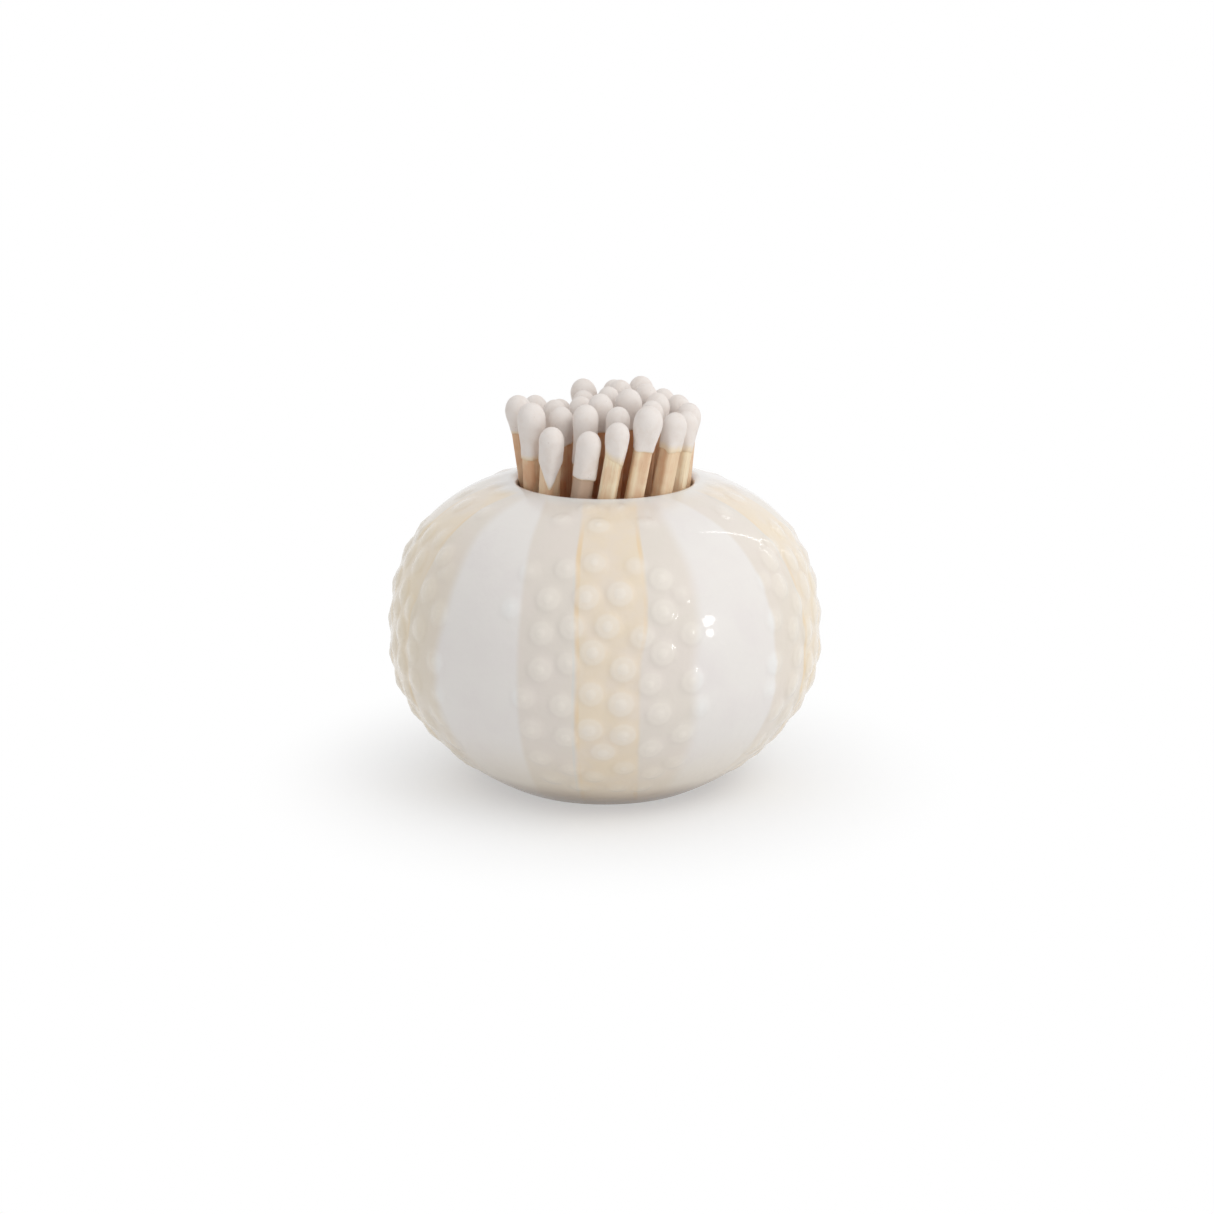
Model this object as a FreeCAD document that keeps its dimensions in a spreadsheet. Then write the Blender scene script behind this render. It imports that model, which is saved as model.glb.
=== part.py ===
"""Sea-urchin match striker: a slip-cast, glazed pot that holds a bundle of wooden matches.

Millimetres, +Z up. The origin is the middle of the foot ring's standing face, and the middle of
the front beaded band faces -Y. Headings are counted from the front, counter-clockwise from above.
"""
import FreeCAD, Part
import Sketcher
import math
import os

V = FreeCAD.Vector
ORIGIN = V(0, 0, 0)
UP = V(0, 0, 1)

doc = FreeCAD.newDocument("match_striker")

# Driving dimensions
SIZES = [
    ("body_radius", 30.0),
    ("body_height", 42.9),
    ("belly_height", 19.3),
    ("shoulder_fullness", 2.66),
    ("base_fullness", 1.81),
    ("mouth_radius", 12.1),
    ("wall", 3.0),
    ("lip_round", 1.3),
    ("neck_round", 0.8),
    ("floor_thickness", 2.9),
    ("foot_radius", 14.5),
    ("foot_ring_width", 3.2),
    ("foot_round", 0.6),
    ("recess_depth", 0.9),
    ("pad_thickness", 0.6),
    ("pad_clearance", 0.6),
    ("band_count", 5),
    ("band_degrees", 50.0),
    ("bead_radius", 1.7),
    ("bead_height", 0.6),
    ("bead_root", 0.5),
    ("bead_row_pitch", 2.5),
    ("bead_spread", 8.7),
    ("bead_gap", 0.2),
    ("bead_free_foot", 4.5),
    ("bead_free_mouth", 3.0),
    ("bead_shrink", 0.45),
    ("bead_stagger", 0.25),
    ("bead_sway", 0.05),
    ("bead_lift", 0.2),
    ("stick_side", 2.4),
    ("stick_length", 49.6),
    ("head_radius", 1.75),
    ("head_rise", 1.2),
    ("head_taper", 5.2),
    ("coat", 0.12),
    ("match_gap", 0.04),
    ("rim_gap", 0.1),
    ("seat_gap", 0.02),
    ("foot_spread", 0.94),
    ("swirl_degrees", 42.0),
]

sheet = doc.addObject("Spreadsheet::Sheet", "dims")
for row, (alias, value) in enumerate(SIZES, start=1):
    sheet.set(f"A{row}", alias)
    sheet.set(f"B{row}", str(value))
    sheet.setAlias(f"B{row}", alias)
doc.recompute()


def size(alias):
    """One driving dimension, read from the sheet."""
    return float(sheet.get(alias))


# Each match: ring (0 is outermost), heading where it crosses the mouth, how far its foot is set
# aside, roll about its own axis, trim of its length, width of its head, length of the dipped coat,
# and how far the coat's edge slopes across the stick.
MATCHES = [
    (0, -18.5, -4, 48, -2.4, 0.94, 6.8, 0.7),
    (0, 1.0, 0, -12, -1.3, 0.94, 5.2, 0.9),
    (0, 21.5, 1, -14, 0.7, 1.13, 6.2, 0.4),
    (0, 45.0, -1, 0, -0.7, 0.95, 5.2, 0.8),
    (0, 67.0, -1, 8, -1.4, 0.95, 5.6, 0.5),
    (0, 87.5, -1, -12, -1.0, 1.0, 5.0, 0.6),
    (0, 107.0, 1, -25, -0.6, 1.0, 5.5, 0.4),
    (0, 126.0, 3, -15, -0.4, 0.97, 5.2, 0.6),
    (0, 145.0, 6, -28, 0.9, 1.0, 5.7, 0.4),
    (0, 165.0, 8, -10, 0.1, 1.0, 5.2, 0.5),
    (0, 187.0, 7, -5, 0.3, 1.06, 6.0, 0.5),
    (0, 209.0, 6, -30, -2.2, 0.95, 5.4, 0.7),
    (0, 231.5, 5, -15, -1.0, 1.0, 5.0, 0.4),
    (0, 262.0, -3, 0, 0.4, 1.05, 5.2, 0.8),
    (0, 291.0, -5, 22, 0.5, 1.1, 8.0, 0.6),
    (0, 315.0, -5, 90, -2.1, 0.96, 6.6, 3.4),
    (1, -64.0, -2, 30, -0.9, 0.97, 5.4, 0.5),
    (1, -29.0, -1, 0, -0.1, 1.0, 8.2, 0.6),
    (1, 6.0, 1, 20, -0.4, 0.94, 5.6, 0.5),
    (1, 50.0, 0, 40, -0.2, 0.94, 5.2, 0.4),
    (1, 88.0, 0, -20, 0.0, 0.97, 5.4, 0.6),
    (1, 121.0, 3, 25, 0.5, 0.95, 5.0, 0.5),
    (1, 154.0, 6, 5, 0.6, 1.0, 5.8, 0.4),
    (1, 196.0, 2, 35, -0.8, 0.95, 5.2, 0.6),
    (1, 246.0, 0, 15, -1.2, 0.97, 5.5, 0.4),
    (2, -18.0, 0, 10, 0.5, 1.0, 5.2, 0.5),
    (2, 76.0, 0, 30, 0.6, 1.05, 5.6, 0.4),
    (2, 165.0, 0, 20, 0.2, 0.92, 5.0, 0.6),
    (2, 254.0, 0, 0, -0.6, 0.97, 5.4, 0.5),
]


# The pot's outer curve
def crown():
    """Height of the shoulder curve above the belly, as if it ran on over the mouth."""
    reach = (size("mouth_radius") / size("body_radius")) ** size("shoulder_fullness")
    rise = size("body_height") - size("belly_height")
    return rise / (1 - reach) ** (1 / size("shoulder_fullness"))


def keel():
    """Depth of the base curve below the belly, as if it ran on under the foot."""
    reach = (size("foot_radius") / size("body_radius")) ** size("base_fullness")
    return size("belly_height") / (1 - reach) ** (1 / size("base_fullness"))


def outline(steps=400):
    """Points of the outer curve from foot to mouth, and the length along it up to each."""
    belly = size("belly_height")
    points, lengths = [], [0.0]
    for half, depth, power in ((-1, keel(), size("base_fullness")), (1, crown(), size("shoulder_fullness"))):
        end = belly if half < 0 else size("body_height") - belly
        last = math.asin((end / depth) ** (power / 2))
        for step in range(steps + 1):
            share = 1 - step / steps if half < 0 else step / steps
            turn = last * share
            radius = size("body_radius") * math.cos(turn) ** (2 / power)
            points.append(V(radius, 0, belly + half * depth * math.sin(turn) ** (2 / power)))
    for before, after in zip(points, points[1:]):
        lengths.append(lengths[-1] + before.distanceToPoint(after))
    return points, lengths


OUTLINE, LENGTHS = outline()


def on_outline(length):
    """Point and outward normal of the outer curve at a length from the foot."""
    index = max(1, min(len(OUTLINE) - 2, sum(1 for value in LENGTHS if value < length)))
    run = OUTLINE[index + 1] - OUTLINE[index - 1]
    normal = V(run.z, 0, -run.x)
    return OUTLINE[index], normal.normalize()


def spread_points(count):
    """Points and normals at even lengths along the outer curve."""
    return [on_outline(LENGTHS[-1] * step / (count - 1)) for step in range(count)]


# Sketches and bodies
def new_body(label):
    body = doc.addObject("PartDesign::Body", label)
    body.Label = label
    return body


def new_sketch(body, plane, name, height=None, turn=0.0):
    """A sketch on one of the body's own origin planes, lifted and turned about the upright axis."""
    sketch = body.newObject("Sketcher::SketchObject", name)
    face = next(item for item in body.Origin.OriginFeatures if item.Role == plane)
    sketch.AttachmentSupport = [(face, "")]
    sketch.MapMode = "FlatFace"
    sketch.AttachmentOffset = FreeCAD.Placement(ORIGIN, FreeCAD.Rotation(V(0, 1, 0), turn))
    if height:
        sketch.setExpression("AttachmentOffset.Base.z", height)
    return sketch


def draw_loop(sketch, curves):
    """Curves that follow each other round one closed outline."""
    for curve in curves:
        sketch.addGeometry(curve, False)
    for index in range(len(curves)):
        following = (index + 1) % len(curves)
        sketch.addConstraint(Sketcher.Constraint("Coincident", index, 2, following, 1))


def draw_polygon(sketch, corners):
    points = [V(x, y, 0) for x, y in corners]
    draw_loop(sketch, [Part.LineSegment(a, b) for a, b in zip(points, points[1:] + points[:1])])


def bind(sketch, kind, places, value, name, expression):
    """A dimension of a sketch, tied to the sheet."""
    index = sketch.addConstraint(Sketcher.Constraint(kind, *places, value))
    sketch.renameConstraint(index, name)
    sketch.setExpression(f"Constraints.{name}", expression)


def draw_circle(sketch, value, expression):
    sketch.addGeometry(Part.Circle(ORIGIN, UP, value), False)
    sketch.addConstraint(Sketcher.Constraint("Coincident", 0, 3, -1, 1))
    bind(sketch, "Radius", (0,), value, "radius", expression)


def draw_square(sketch, value, expression):
    """A square about the sketch's origin."""
    half = value / 2
    draw_polygon(sketch, [(-half, -half), (half, -half), (half, half), (-half, half)])
    for line, kind in ((0, "Horizontal"), (1, "Vertical"), (2, "Horizontal"), (3, "Vertical")):
        sketch.addConstraint(Sketcher.Constraint(kind, line))
    sketch.addConstraint(Sketcher.Constraint("Symmetric", 0, 1, 1, 2, -1, 1))
    bind(sketch, "DistanceX", (0, 1, 0, 2), value, "across", expression)
    bind(sketch, "DistanceY", (1, 1, 1, 2), value, "along", expression)


def spline(points):
    curve = Part.BSplineCurve()
    curve.interpolate(points)
    return curve


def revolved(body, sketch, name):
    feature = body.newObject("PartDesign::Revolution", name)
    feature.Profile = sketch
    feature.ReferenceAxis = (sketch, ["V_Axis"])
    feature.Angle = 360.0
    sketch.Visibility = False
    return feature


def extruded(body, sketch, kind, name, length, upward=True, both_ways=False):
    feature = body.newObject(f"PartDesign::{kind}", name)
    feature.Profile = sketch
    feature.Reversed = upward if kind == "Pocket" else not upward
    feature.Midplane = both_ways
    feature.setExpression("Length", length)
    return feature


def rounded(body, name, spots, radius):
    """Rounds the circular edges that lie at the given (radius, height) spots."""
    base = body.Tip
    names = []
    for index, edge in enumerate(base.Shape.Edges, start=1):
        box = edge.BoundBox
        for reach, height in spots:
            if box.ZLength < 1e-4 and abs(box.ZMin - height) < 1e-4 and abs(box.XMax - reach) < 1e-3:
                names.append(f"Edge{index}")
    feature = body.newObject("PartDesign::Fillet", name)
    feature.Base = (base, names)
    feature.setExpression("Radius", radius)
    doc.recompute()
    return feature


# The slip-cast wall
FLOOR = size("recess_depth") + size("floor_thickness")
RECESS_RADIUS = size("foot_radius") - size("foot_ring_width")
BAND_STEP = 360.0 / size("band_count")
SEAM_HEADING = BAND_STEP * 1.5


def between(a, b, share):
    return a + (b - a) * share


def cavity_points(count):
    """The inside of the wall: the outer curve set in by the wall, from the floor to the mouth."""
    inner = [point - normal * size("wall") for point, normal in spread_points(200)]
    start = next(i for i, point in enumerate(inner) if point.z > FLOOR)
    stop = max(i for i, point in enumerate(inner) if point.x > size("mouth_radius"))
    low = between(inner[start - 1], inner[start], (FLOOR - inner[start - 1].z) / (inner[start].z - inner[start - 1].z))
    drop = inner[stop].x - inner[stop + 1].x
    high = between(inner[stop], inner[stop + 1], (inner[stop].x - size("mouth_radius")) / drop)
    picked = [inner[start + round((stop - start) * step / count)] for step in range(1, count)]
    return [low] + picked + [high]


def make_wall():
    """One revolved section: outer curve, mouth, inside curve, floor and foot ring."""
    body = new_body("pot_wall")
    sketch = new_sketch(body, "XZ_Plane", "wall_section")
    outer = [V(point.x, point.z, 0) for point, _ in spread_points(17)]
    outer[0] = V(size("foot_radius"), 0, 0)
    outer[-1] = V(size("mouth_radius"), size("body_height"), 0)
    inner = [V(point.x, point.z, 0) for point in cavity_points(14)]
    corners = [
        V(0, FLOOR, 0),
        V(0, size("recess_depth"), 0),
        V(RECESS_RADIUS, size("recess_depth"), 0),
        V(RECESS_RADIUS, 0, 0),
    ]
    curves = [spline(outer), Part.LineSegment(outer[-1], inner[-1]), spline(inner[::-1])]
    chain = [inner[0]] + corners + [outer[0]]
    curves += [Part.LineSegment(a, b) for a, b in zip(chain, chain[1:])]
    draw_loop(sketch, curves)
    revolved(body, sketch, "wall")
    doc.recompute()
    lip = [(size("mouth_radius"), size("body_height"))]
    neck = [(size("mouth_radius"), inner[-1].y)]
    foot = [(size("foot_radius"), 0.0), (RECESS_RADIUS, 0.0)]
    rounded(body, "lip", lip, "dims.lip_round")
    rounded(body, "neck", neck, "dims.neck_round")
    rounded(body, "foot_edges", foot, "dims.foot_round")
    body.Placement = FreeCAD.Placement(ORIGIN, FreeCAD.Rotation(UP, SEAM_HEADING - 90.0))
    return body


# The beads of the shell
def direction(heading):
    """Level unit vector at a heading from the front."""
    angle = math.radians(heading)
    return V(math.sin(angle), -math.cos(angle), 0)


def make_bead():
    """One bead: a shallow dome with a root that sinks into the wall."""
    rise, reach = size("bead_height"), size("bead_radius")
    ball = (reach**2 + rise**2) / (2 * rise)
    middle = rise - ball
    root = size("bead_root")
    edge = math.sqrt(ball**2 - (root + middle) ** 2)
    half = math.acos((-root - middle) / ball) / 2
    body = new_body("bead")
    sketch = new_sketch(body, "XZ_Plane", "bead_section")
    top, foot, skirt = V(0, rise, 0), V(0, -root, 0), V(edge, -root, 0)
    shoulder = V(ball * math.sin(half), middle + ball * math.cos(half), 0)
    dome = Part.Arc(skirt, shoulder, top)
    draw_loop(sketch, [dome, Part.LineSegment(top, foot), Part.LineSegment(foot, skirt)])
    revolved(body, sketch, "dome")
    doc.recompute()
    return body.Shape


def bead_seats():
    """Rows of staggered seats in one band, as (heading, length, scale), none too near another."""
    band = size("band_degrees")
    first = size("bead_free_foot")
    last = LENGTHS[-1] - size("lip_round") - size("bead_free_mouth")
    rows = int((last - first) / size("bead_row_pitch")) + 1
    seats, taken = [], []
    for row in range(rows):
        length = first + row * size("bead_row_pitch")
        point, _ = on_outline(length)
        scale = 1 - size("bead_shrink") * (1 - point.x / size("body_radius"))
        count = max(2, round(math.radians(band) * point.x / size("bead_spread")))
        shift = size("bead_stagger") if row % 2 else -size("bead_stagger")
        for column in range(count):
            sway = size("bead_sway") * math.sin(2.3 * row + 4.1 * column)
            heading = band * ((column + 0.5 + shift + sway) / count - 0.5)
            lift = size("bead_lift") * math.sin(1.7 * row + 2.9 * column)
            seat, _ = on_outline(length + lift)
            spot = direction(heading) * seat.x + UP * seat.z
            room = 2 * size("bead_radius") * scale + size("bead_gap")
            if all(spot.distanceToPoint(other) >= room for other in taken):
                taken.append(spot)
                seats.append((heading, length + lift, scale))
    return seats


def make_beads():
    """Every bead of every band, standing square to the wall."""
    bead = make_bead()
    seats = bead_seats()
    domes = []
    for band in range(int(size("band_count"))):
        for heading, length, scale in seats:
            point, normal = on_outline(length)
            outward = direction(heading + band * BAND_STEP)
            dome = bead.scaled(scale)
            square = FreeCAD.Rotation(UP, outward * normal.x + UP * normal.z)
            dome.Placement = FreeCAD.Placement(outward * point.x + UP * point.z, square)
            domes.append(dome)
    beads = doc.addObject("Part::Feature", "beads")
    beads.Shape = Part.makeCompound(domes)
    return beads


def make_pot():
    """The wall and its beads are one casting."""
    pot = doc.addObject("Part::MultiFuse", "pot")
    pot.Label = "pot"
    pot.Shapes = [make_wall(), make_beads()]
    return pot


def make_striker_pad():
    """Round striking pad glued in the recess under the foot."""
    body = new_body("striker_pad")
    sketch = new_sketch(body, "XY_Plane", "pad_outline", "dims.recess_depth - dims.pad_thickness")
    reach = "dims.foot_radius - dims.foot_ring_width - dims.pad_clearance"
    draw_circle(sketch, RECESS_RADIUS - size("pad_clearance"), reach)
    extruded(body, sketch, "Pad", "pad", "dims.pad_thickness")
    return body


# The matches
HALF_DIAGONAL = size("stick_side") / math.sqrt(2)
MOUTH_HEIGHT = size("body_height") - size("lip_round")
NECK_REACH = size("mouth_radius") - size("rim_gap")
OUTER_REACH = NECK_REACH - HALF_DIAGONAL
RING_STEP = (2 * HALF_DIAGONAL + size("match_gap")) / math.cos(math.radians(size("swirl_degrees") / 2))


def mouth_reach(ring, roll):
    """How far out a match crosses the mouth. The outer ones lean a corner or an edge on the neck."""
    if ring:
        return OUTER_REACH - ring * RING_STEP
    corners = [math.radians(45 + 90 * corner + roll) for corner in range(4)]
    aside = [HALF_DIAGONAL * math.sin(corner) for corner in corners]
    ahead = [HALF_DIAGONAL * math.cos(corner) for corner in corners]
    return min(math.sqrt(NECK_REACH**2 - a**2) - b for a, b in zip(aside, ahead))


def match_placement(ring, heading, aside, roll):
    """Stands a match on the floor so that it crosses the mouth at its heading."""
    foot_reach = size("foot_spread") * OUTER_REACH - ring * RING_STEP
    foot_heading = heading + aside - size("swirl_degrees")
    mouth = direction(heading) * mouth_reach(ring, roll) + UP * MOUTH_HEIGHT
    foot = direction(foot_heading) * foot_reach + UP * FLOOR
    lean = FreeCAD.Rotation(UP, mouth - foot)
    turn = lean.multiply(FreeCAD.Rotation(UP, heading + roll))
    dip = abs(turn.multVec(V(1, 0, 0)).z) + abs(turn.multVec(V(0, 1, 0)).z)
    foot.z += size("seat_gap") + dip * size("stick_side") / 2
    return FreeCAD.Placement(foot, turn)


def make_stick(label, trim):
    body = new_body(label)
    sketch = new_sketch(body, "XY_Plane", f"{label}_section")
    draw_square(sketch, size("stick_side"), "dims.stick_side")
    extruded(body, sketch, "Pad", f"{label}_length", f"dims.stick_length + {trim}")
    return body


def make_head(label, trim, width, dipped, slope):
    """A dipped head: a bulb that narrows into a thin square coat, with a socket for the stick."""
    body = new_body(label)
    end = f"dims.stick_length + {trim}"
    top = size("stick_length") + trim + size("head_rise")
    bulb, waist = size("head_radius") * width, size("stick_side") / 2
    equator, low = top - bulb, top - size("head_taper")
    bow = ((equator - low) ** 2 + (bulb - waist) ** 2) / (2 * (bulb - waist))
    half = math.asin((equator - low) / bow) / 2
    section = new_sketch(body, "XZ_Plane", f"{label}_section")
    taper = Part.Arc(
        V(waist, low, 0),
        V(bulb - bow * (1 - math.cos(half)), equator - bow * math.sin(half), 0),
        V(bulb, equator, 0),
    )
    dome = Part.Arc(
        V(bulb, equator, 0),
        V(bulb * math.sqrt(0.5), equator + bulb * math.sqrt(0.5), 0),
        V(0, top, 0),
    )
    sides = [V(0, top, 0), V(0, low, 0), V(waist, low, 0)]
    lines = [Part.LineSegment(a, b) for a, b in zip(sides, sides[1:])]
    draw_loop(section, [taper, dome] + lines)
    revolved(body, section, f"{label}_bulb")

    edge = dipped + slope / 2
    start = f"{end} + dims.head_rise - {edge}"
    sleeve = new_sketch(body, "XY_Plane", f"{label}_sleeve", start)
    draw_square(sleeve, size("stick_side") + 2 * size("coat"), "dims.stick_side + 2 * dims.coat")
    rise = f"{edge} - dims.head_radius * {width}"
    extruded(body, sleeve, "Pad", f"{label}_coat", rise)

    socket = new_sketch(body, "XY_Plane", f"{label}_socket")
    draw_square(socket, size("stick_side"), "dims.stick_side")
    extruded(body, socket, "Pocket", f"{label}_bore", end)

    reach = HALF_DIAGONAL + size("coat") * math.sqrt(2)
    middle = top - dipped
    far = 2 * reach
    fall = slope / 2 / reach * far
    trimmed = new_sketch(body, "XZ_Plane", f"{label}_edge", turn=45.0)
    draw_polygon(
        trimmed,
        [(-far, middle - fall - far), (far, middle - fall - far), (far, middle + fall), (-far, middle - fall)],
    )
    extruded(body, trimmed, "Pocket", f"{label}_trim", "4 * dims.stick_side", both_ways=True)
    return body


def envelope(placement, trim, width, dipped):
    """What a match fills: its stick, its coat and its bulb."""
    side, coated = size("stick_side"), size("stick_side") + 2 * size("coat")
    end = size("stick_length") + trim
    top = end + size("head_rise")
    bulb = size("head_radius") * width
    stick = Part.makeBox(side, side, end, V(-side / 2, -side / 2, 0))
    coat = Part.makeBox(coated, coated, dipped - bulb, V(-coated / 2, -coated / 2, top - dipped))
    shape = Part.makeCompound([stick, coat, Part.makeSphere(bulb, V(0, 0, top - bulb))])
    shape.Placement = placement
    return shape


def make_matches():
    """Puts the matches in one by one. One that would find no room beside the others stays out."""
    pieces, filled = [], []
    for number, row in enumerate(MATCHES, start=1):
        ring, heading, aside, roll, trim, width, dipped, slope = row
        placement = match_placement(ring, heading, aside, roll)
        shape = envelope(placement, trim, width, dipped)
        if any(shape.distToShape(other)[0] < size("match_gap") for other in filled):
            print("no room for match", number)
            continue
        filled.append(shape)
        stick = make_stick(f"match_{number:02d}_stick", trim)
        head = make_head(f"match_{number:02d}_head", trim, width, dipped, slope)
        for piece in (stick, head):
            piece.Placement = placement
            pieces.append(piece)
    return pieces


def failed(item):
    return any(word in state for state in item.State for word in ("Invalid", "Error"))


def main():
    pieces = [make_pot(), make_striker_pad()] + make_matches()
    doc.recompute()
    broken = [item.Name for item in doc.Objects if failed(item)]
    if broken:
        raise RuntimeError(f"failed objects: {broken}")
    for piece in pieces:
        if piece.Shape.isNull() or not piece.Shape.isValid():
            raise RuntimeError(f"bad shape: {piece.Label}")
    os.makedirs("parts", exist_ok=True)
    for piece in pieces:
        piece.Shape.exportStep(f"parts/{piece.Label}.step")
    print(len(pieces), "pieces", round(pieces[0].Shape.Volume), "mm3 in the pot")


main()
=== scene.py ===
"""Looks of the sea-urchin match striker: the glazed pot, the pad under it and the matches in it.

The file is laid out as an add-on and is run as a script. Heights are +Z, and headings are counted
from the front (-Y) towards +X. Shapes are worked out in millimetres and stored in metres.
"""
import math

import bpy
import numpy as np
from bpy.props import FloatProperty, FloatVectorProperty, IntProperty, PointerProperty
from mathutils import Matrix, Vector, noise


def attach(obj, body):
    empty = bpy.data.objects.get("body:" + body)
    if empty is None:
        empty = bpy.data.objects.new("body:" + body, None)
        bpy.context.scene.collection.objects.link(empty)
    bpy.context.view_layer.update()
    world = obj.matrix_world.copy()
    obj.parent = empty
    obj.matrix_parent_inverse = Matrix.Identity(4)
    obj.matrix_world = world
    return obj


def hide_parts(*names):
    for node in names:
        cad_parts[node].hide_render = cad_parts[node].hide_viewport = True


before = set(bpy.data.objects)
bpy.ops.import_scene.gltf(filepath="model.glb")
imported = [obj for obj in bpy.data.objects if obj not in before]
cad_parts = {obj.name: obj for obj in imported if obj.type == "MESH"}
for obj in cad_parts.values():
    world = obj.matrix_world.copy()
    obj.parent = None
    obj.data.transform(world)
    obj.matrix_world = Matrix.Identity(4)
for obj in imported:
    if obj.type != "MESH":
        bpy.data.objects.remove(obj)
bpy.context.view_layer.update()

bl_info = {
    "name": "Match striker",
    "version": (1, 0, 0),
    "blender": (4, 5, 0),
    "location": "3D View > Sidebar > Match striker",
    "description": "Glazed sea-urchin match striker with its matches, and a plain stage for it",
    "category": "Object",
}

MM = 0.001
MATCHES = sorted({name[: len("match_00")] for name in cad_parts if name.startswith("match_")})

# The photo's side, and how far its middle lies beside the point the camera looks at, in pixels
PHOTO_PIXELS = 1214
PHOTO_SHIFT = (2.0, 8.07)

# How finely the pot's outline is worked out, and its mesh cut from foot to lip and round its edges
OUTLINE_POINTS = 1500
WALL_ROWS = 168
CAVITY_ROWS = 22
LIP_POINTS = 9
FOOT_POINTS = 5
# Columns of one band: fine over the beads, and wide over the smooth strip beside them
BEADED_ARC = math.radians(60)
BEADED_COLUMNS = 100
STRIP_COLUMNS = 8
# Inside the pot and under it, one column in so many goes on
COLUMN_STEP = 4
# How finely the matches are cut
STICK_ROWS, STICK_COLUMNS = 44, 24
DOME_RINGS, COAT_RINGS, HEAD_COLUMNS = 11, 20, 44

# Beads of one band: heading in degrees from the band's middle, height in millimetres and size
BEADS = (
    (-22.5, 35.5, 0.6), (-15.5, 32.5, 0.95), (-16.5, 28.2, 0.95), (-16.5, 23.5, 1.0),
    (-21.0, 19.4, 0.9), (-19.5, 15.0, 1.0), (-18.5, 10.5, 0.9), (-17.0, 6.6, 0.7),
    (-18.0, 40.9, 0.6), (-11.5, 36.1, 0.9), (-8.5, 29.2, 1.05), (-9.2, 24.6, 0.9),
    (-11.0, 18.8, 0.95), (-10.2, 14.2, 1.0), (-10.0, 8.8, 0.85), (-8.5, 5.3, 0.65),
    (-8.5, 42.0, 0.4), (-2.4, 40.5, 0.85), (-3.2, 36.8, 0.95), (-5.0, 32.9, 1.1),
    (-3.1, 26.1, 1.15), (-3.5, 20.6, 1.0), (-4.0, 15.5, 1.1), (-0.6, 12.0, 1.0),
    (-3.4, 7.6, 0.8), (6.5, 42.0, 0.45), (4.1, 33.3, 1.15), (0.7, 29.4, 1.1),
    (4.5, 23.9, 1.15), (4.0, 19.2, 1.1), (4.7, 14.7, 1.1), (5.5, 9.2, 0.85),
    (4.5, 5.2, 0.65), (16.3, 40.6, 0.6), (9.2, 36.4, 0.7), (16.1, 34.8, 1.0),
    (15.5, 31.0, 1.05), (9.3, 28.0, 0.95), (14.6, 25.7, 1.0), (11.2, 21.8, 0.95),
    (13.6, 17.6, 1.05), (12.2, 12.3, 1.0), (14.5, 7.9, 0.85), (12.5, 4.9, 0.6),
    (22.6, 28.0, 0.9), (22.3, 21.7, 0.95), (24.6, 17.9, 0.6), (20.5, 14.3, 0.9),
    (20.5, 9.6, 0.8), (21.5, 33.0, 0.6), (-25.7, 31.0, 0.65),
)
# How far the beads of the other bands stray from these, in degrees, millimetres and share of size
HEADING_STRAY, HEIGHT_STRAY, SIZE_STRAY = 0.9, 0.45, 0.08
HIGHEST_BEAD = 42.2
# The higher, the flatter a bead's dome is in its middle
DOME_POWER = 4.5
# How wavy the bare wall is, in millimetres
WALL_WAVE = 0.045

# Heights in millimetres between which the glaze changes
BULGE_STARTS, BULGE_ENDS = (23.5, 30.0), (33.0, 40.5)
LINES_END = (38.0, 41.6)
BANDS_END = (42.3, 42.8)
LIP_STARTS = (41.9, 42.7)
WARMTH_ENDS = (1.0, 14.0)
# Heights between which the painted shade above the foot fades out
FOOT_SHADE_ENDS = (0.4, 5.0)
# Bare clay, with the heights at which it ends and the radii at which it starts
CLAY_ENDS = (0.12, 0.3)
CLAY_STARTS = (11.0, 11.4)

# Matches whose dip fades out softly, with the length in millimetres over which it does
SOFT_EDGES = {2: 1.5, 4: 1.6, 5: 1.5, 6: 1.2, 7: 1.0, 8: 1.0, 14: 0.8, 15: 1.2, 16: 0.9}
SHARP_EDGE = 0.3
# Matches whose dip edge slopes unlike the rest: share of the CAD edge's slope, and lift in mm
EDGE_TILTS = {1: (-0.8, -0.05), 2: (-2.4, -0.3), 16: (2.2, 1.5)}
PLAIN_TILT = (0.5, 0.0)
# Matches whose coat stands full over the faces of the stick, with how far in millimetres
FULL_COATS = {1: 0.16, 16: 0.1}
# A match whose wood has soaked up some of its dip
STAINED_MATCH = 1
# How much warmer some sticks are than the rest, or paler where it is below 0.
# The 0.75 of the sticks from 17 on is painted shade: they stand deep in the bundle, in the gaps
STICK_WARMTH_AND_SHADE = {number: 0.75 for number in range(17, 30)} | {
    2: -0.28, 3: -0.27, 4: 0.16, 6: 0.2, 7: 0.3, 13: 0.3, 14: 0.35, 16: 0.3,
}
# How square a stick is, where 2 would be round
STICK_SQUARENESS = 9
# The upper half of a head's bulb is this much longer than it is wide
BULB_STRETCH = 1.18

# The stage, in metres and linear colours
FLOOR_REACH = 6.0
LIT_HEIGHT = 0.025
SENSOR_WIDTH = 36.0
WHITE = (1.0, 1.0, 1.0)
FLOOR_SHADE = (0.8, 0.8, 0.8)


def srgb(red, green, blue):
    """Linear colour of an sRGB one given as 0 to 255."""
    shares = (value / 255 for value in (red, green, blue))
    return tuple(s / 12.92 if s <= 0.04045 else ((s + 0.055) / 1.055) ** 2.4 for s in shares)


def number(name, description, value, least=0.0, **settings):
    """A number that a user can change."""
    return FloatProperty(name=name, description=description, default=value, min=least, **settings)


def length(name, description, millimetres):
    """A length that a user can change."""
    return number(name, description, millimetres * MM, unit="LENGTH", subtype="DISTANCE")


def colour(name, description, *values):
    """A colour that a user can change, given as sRGB values of 0 to 255."""
    return FloatVectorProperty(
        name=name,
        description=description,
        default=srgb(*values),
        min=0.0,
        max=1.0,
        subtype="COLOR",
    )


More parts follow.
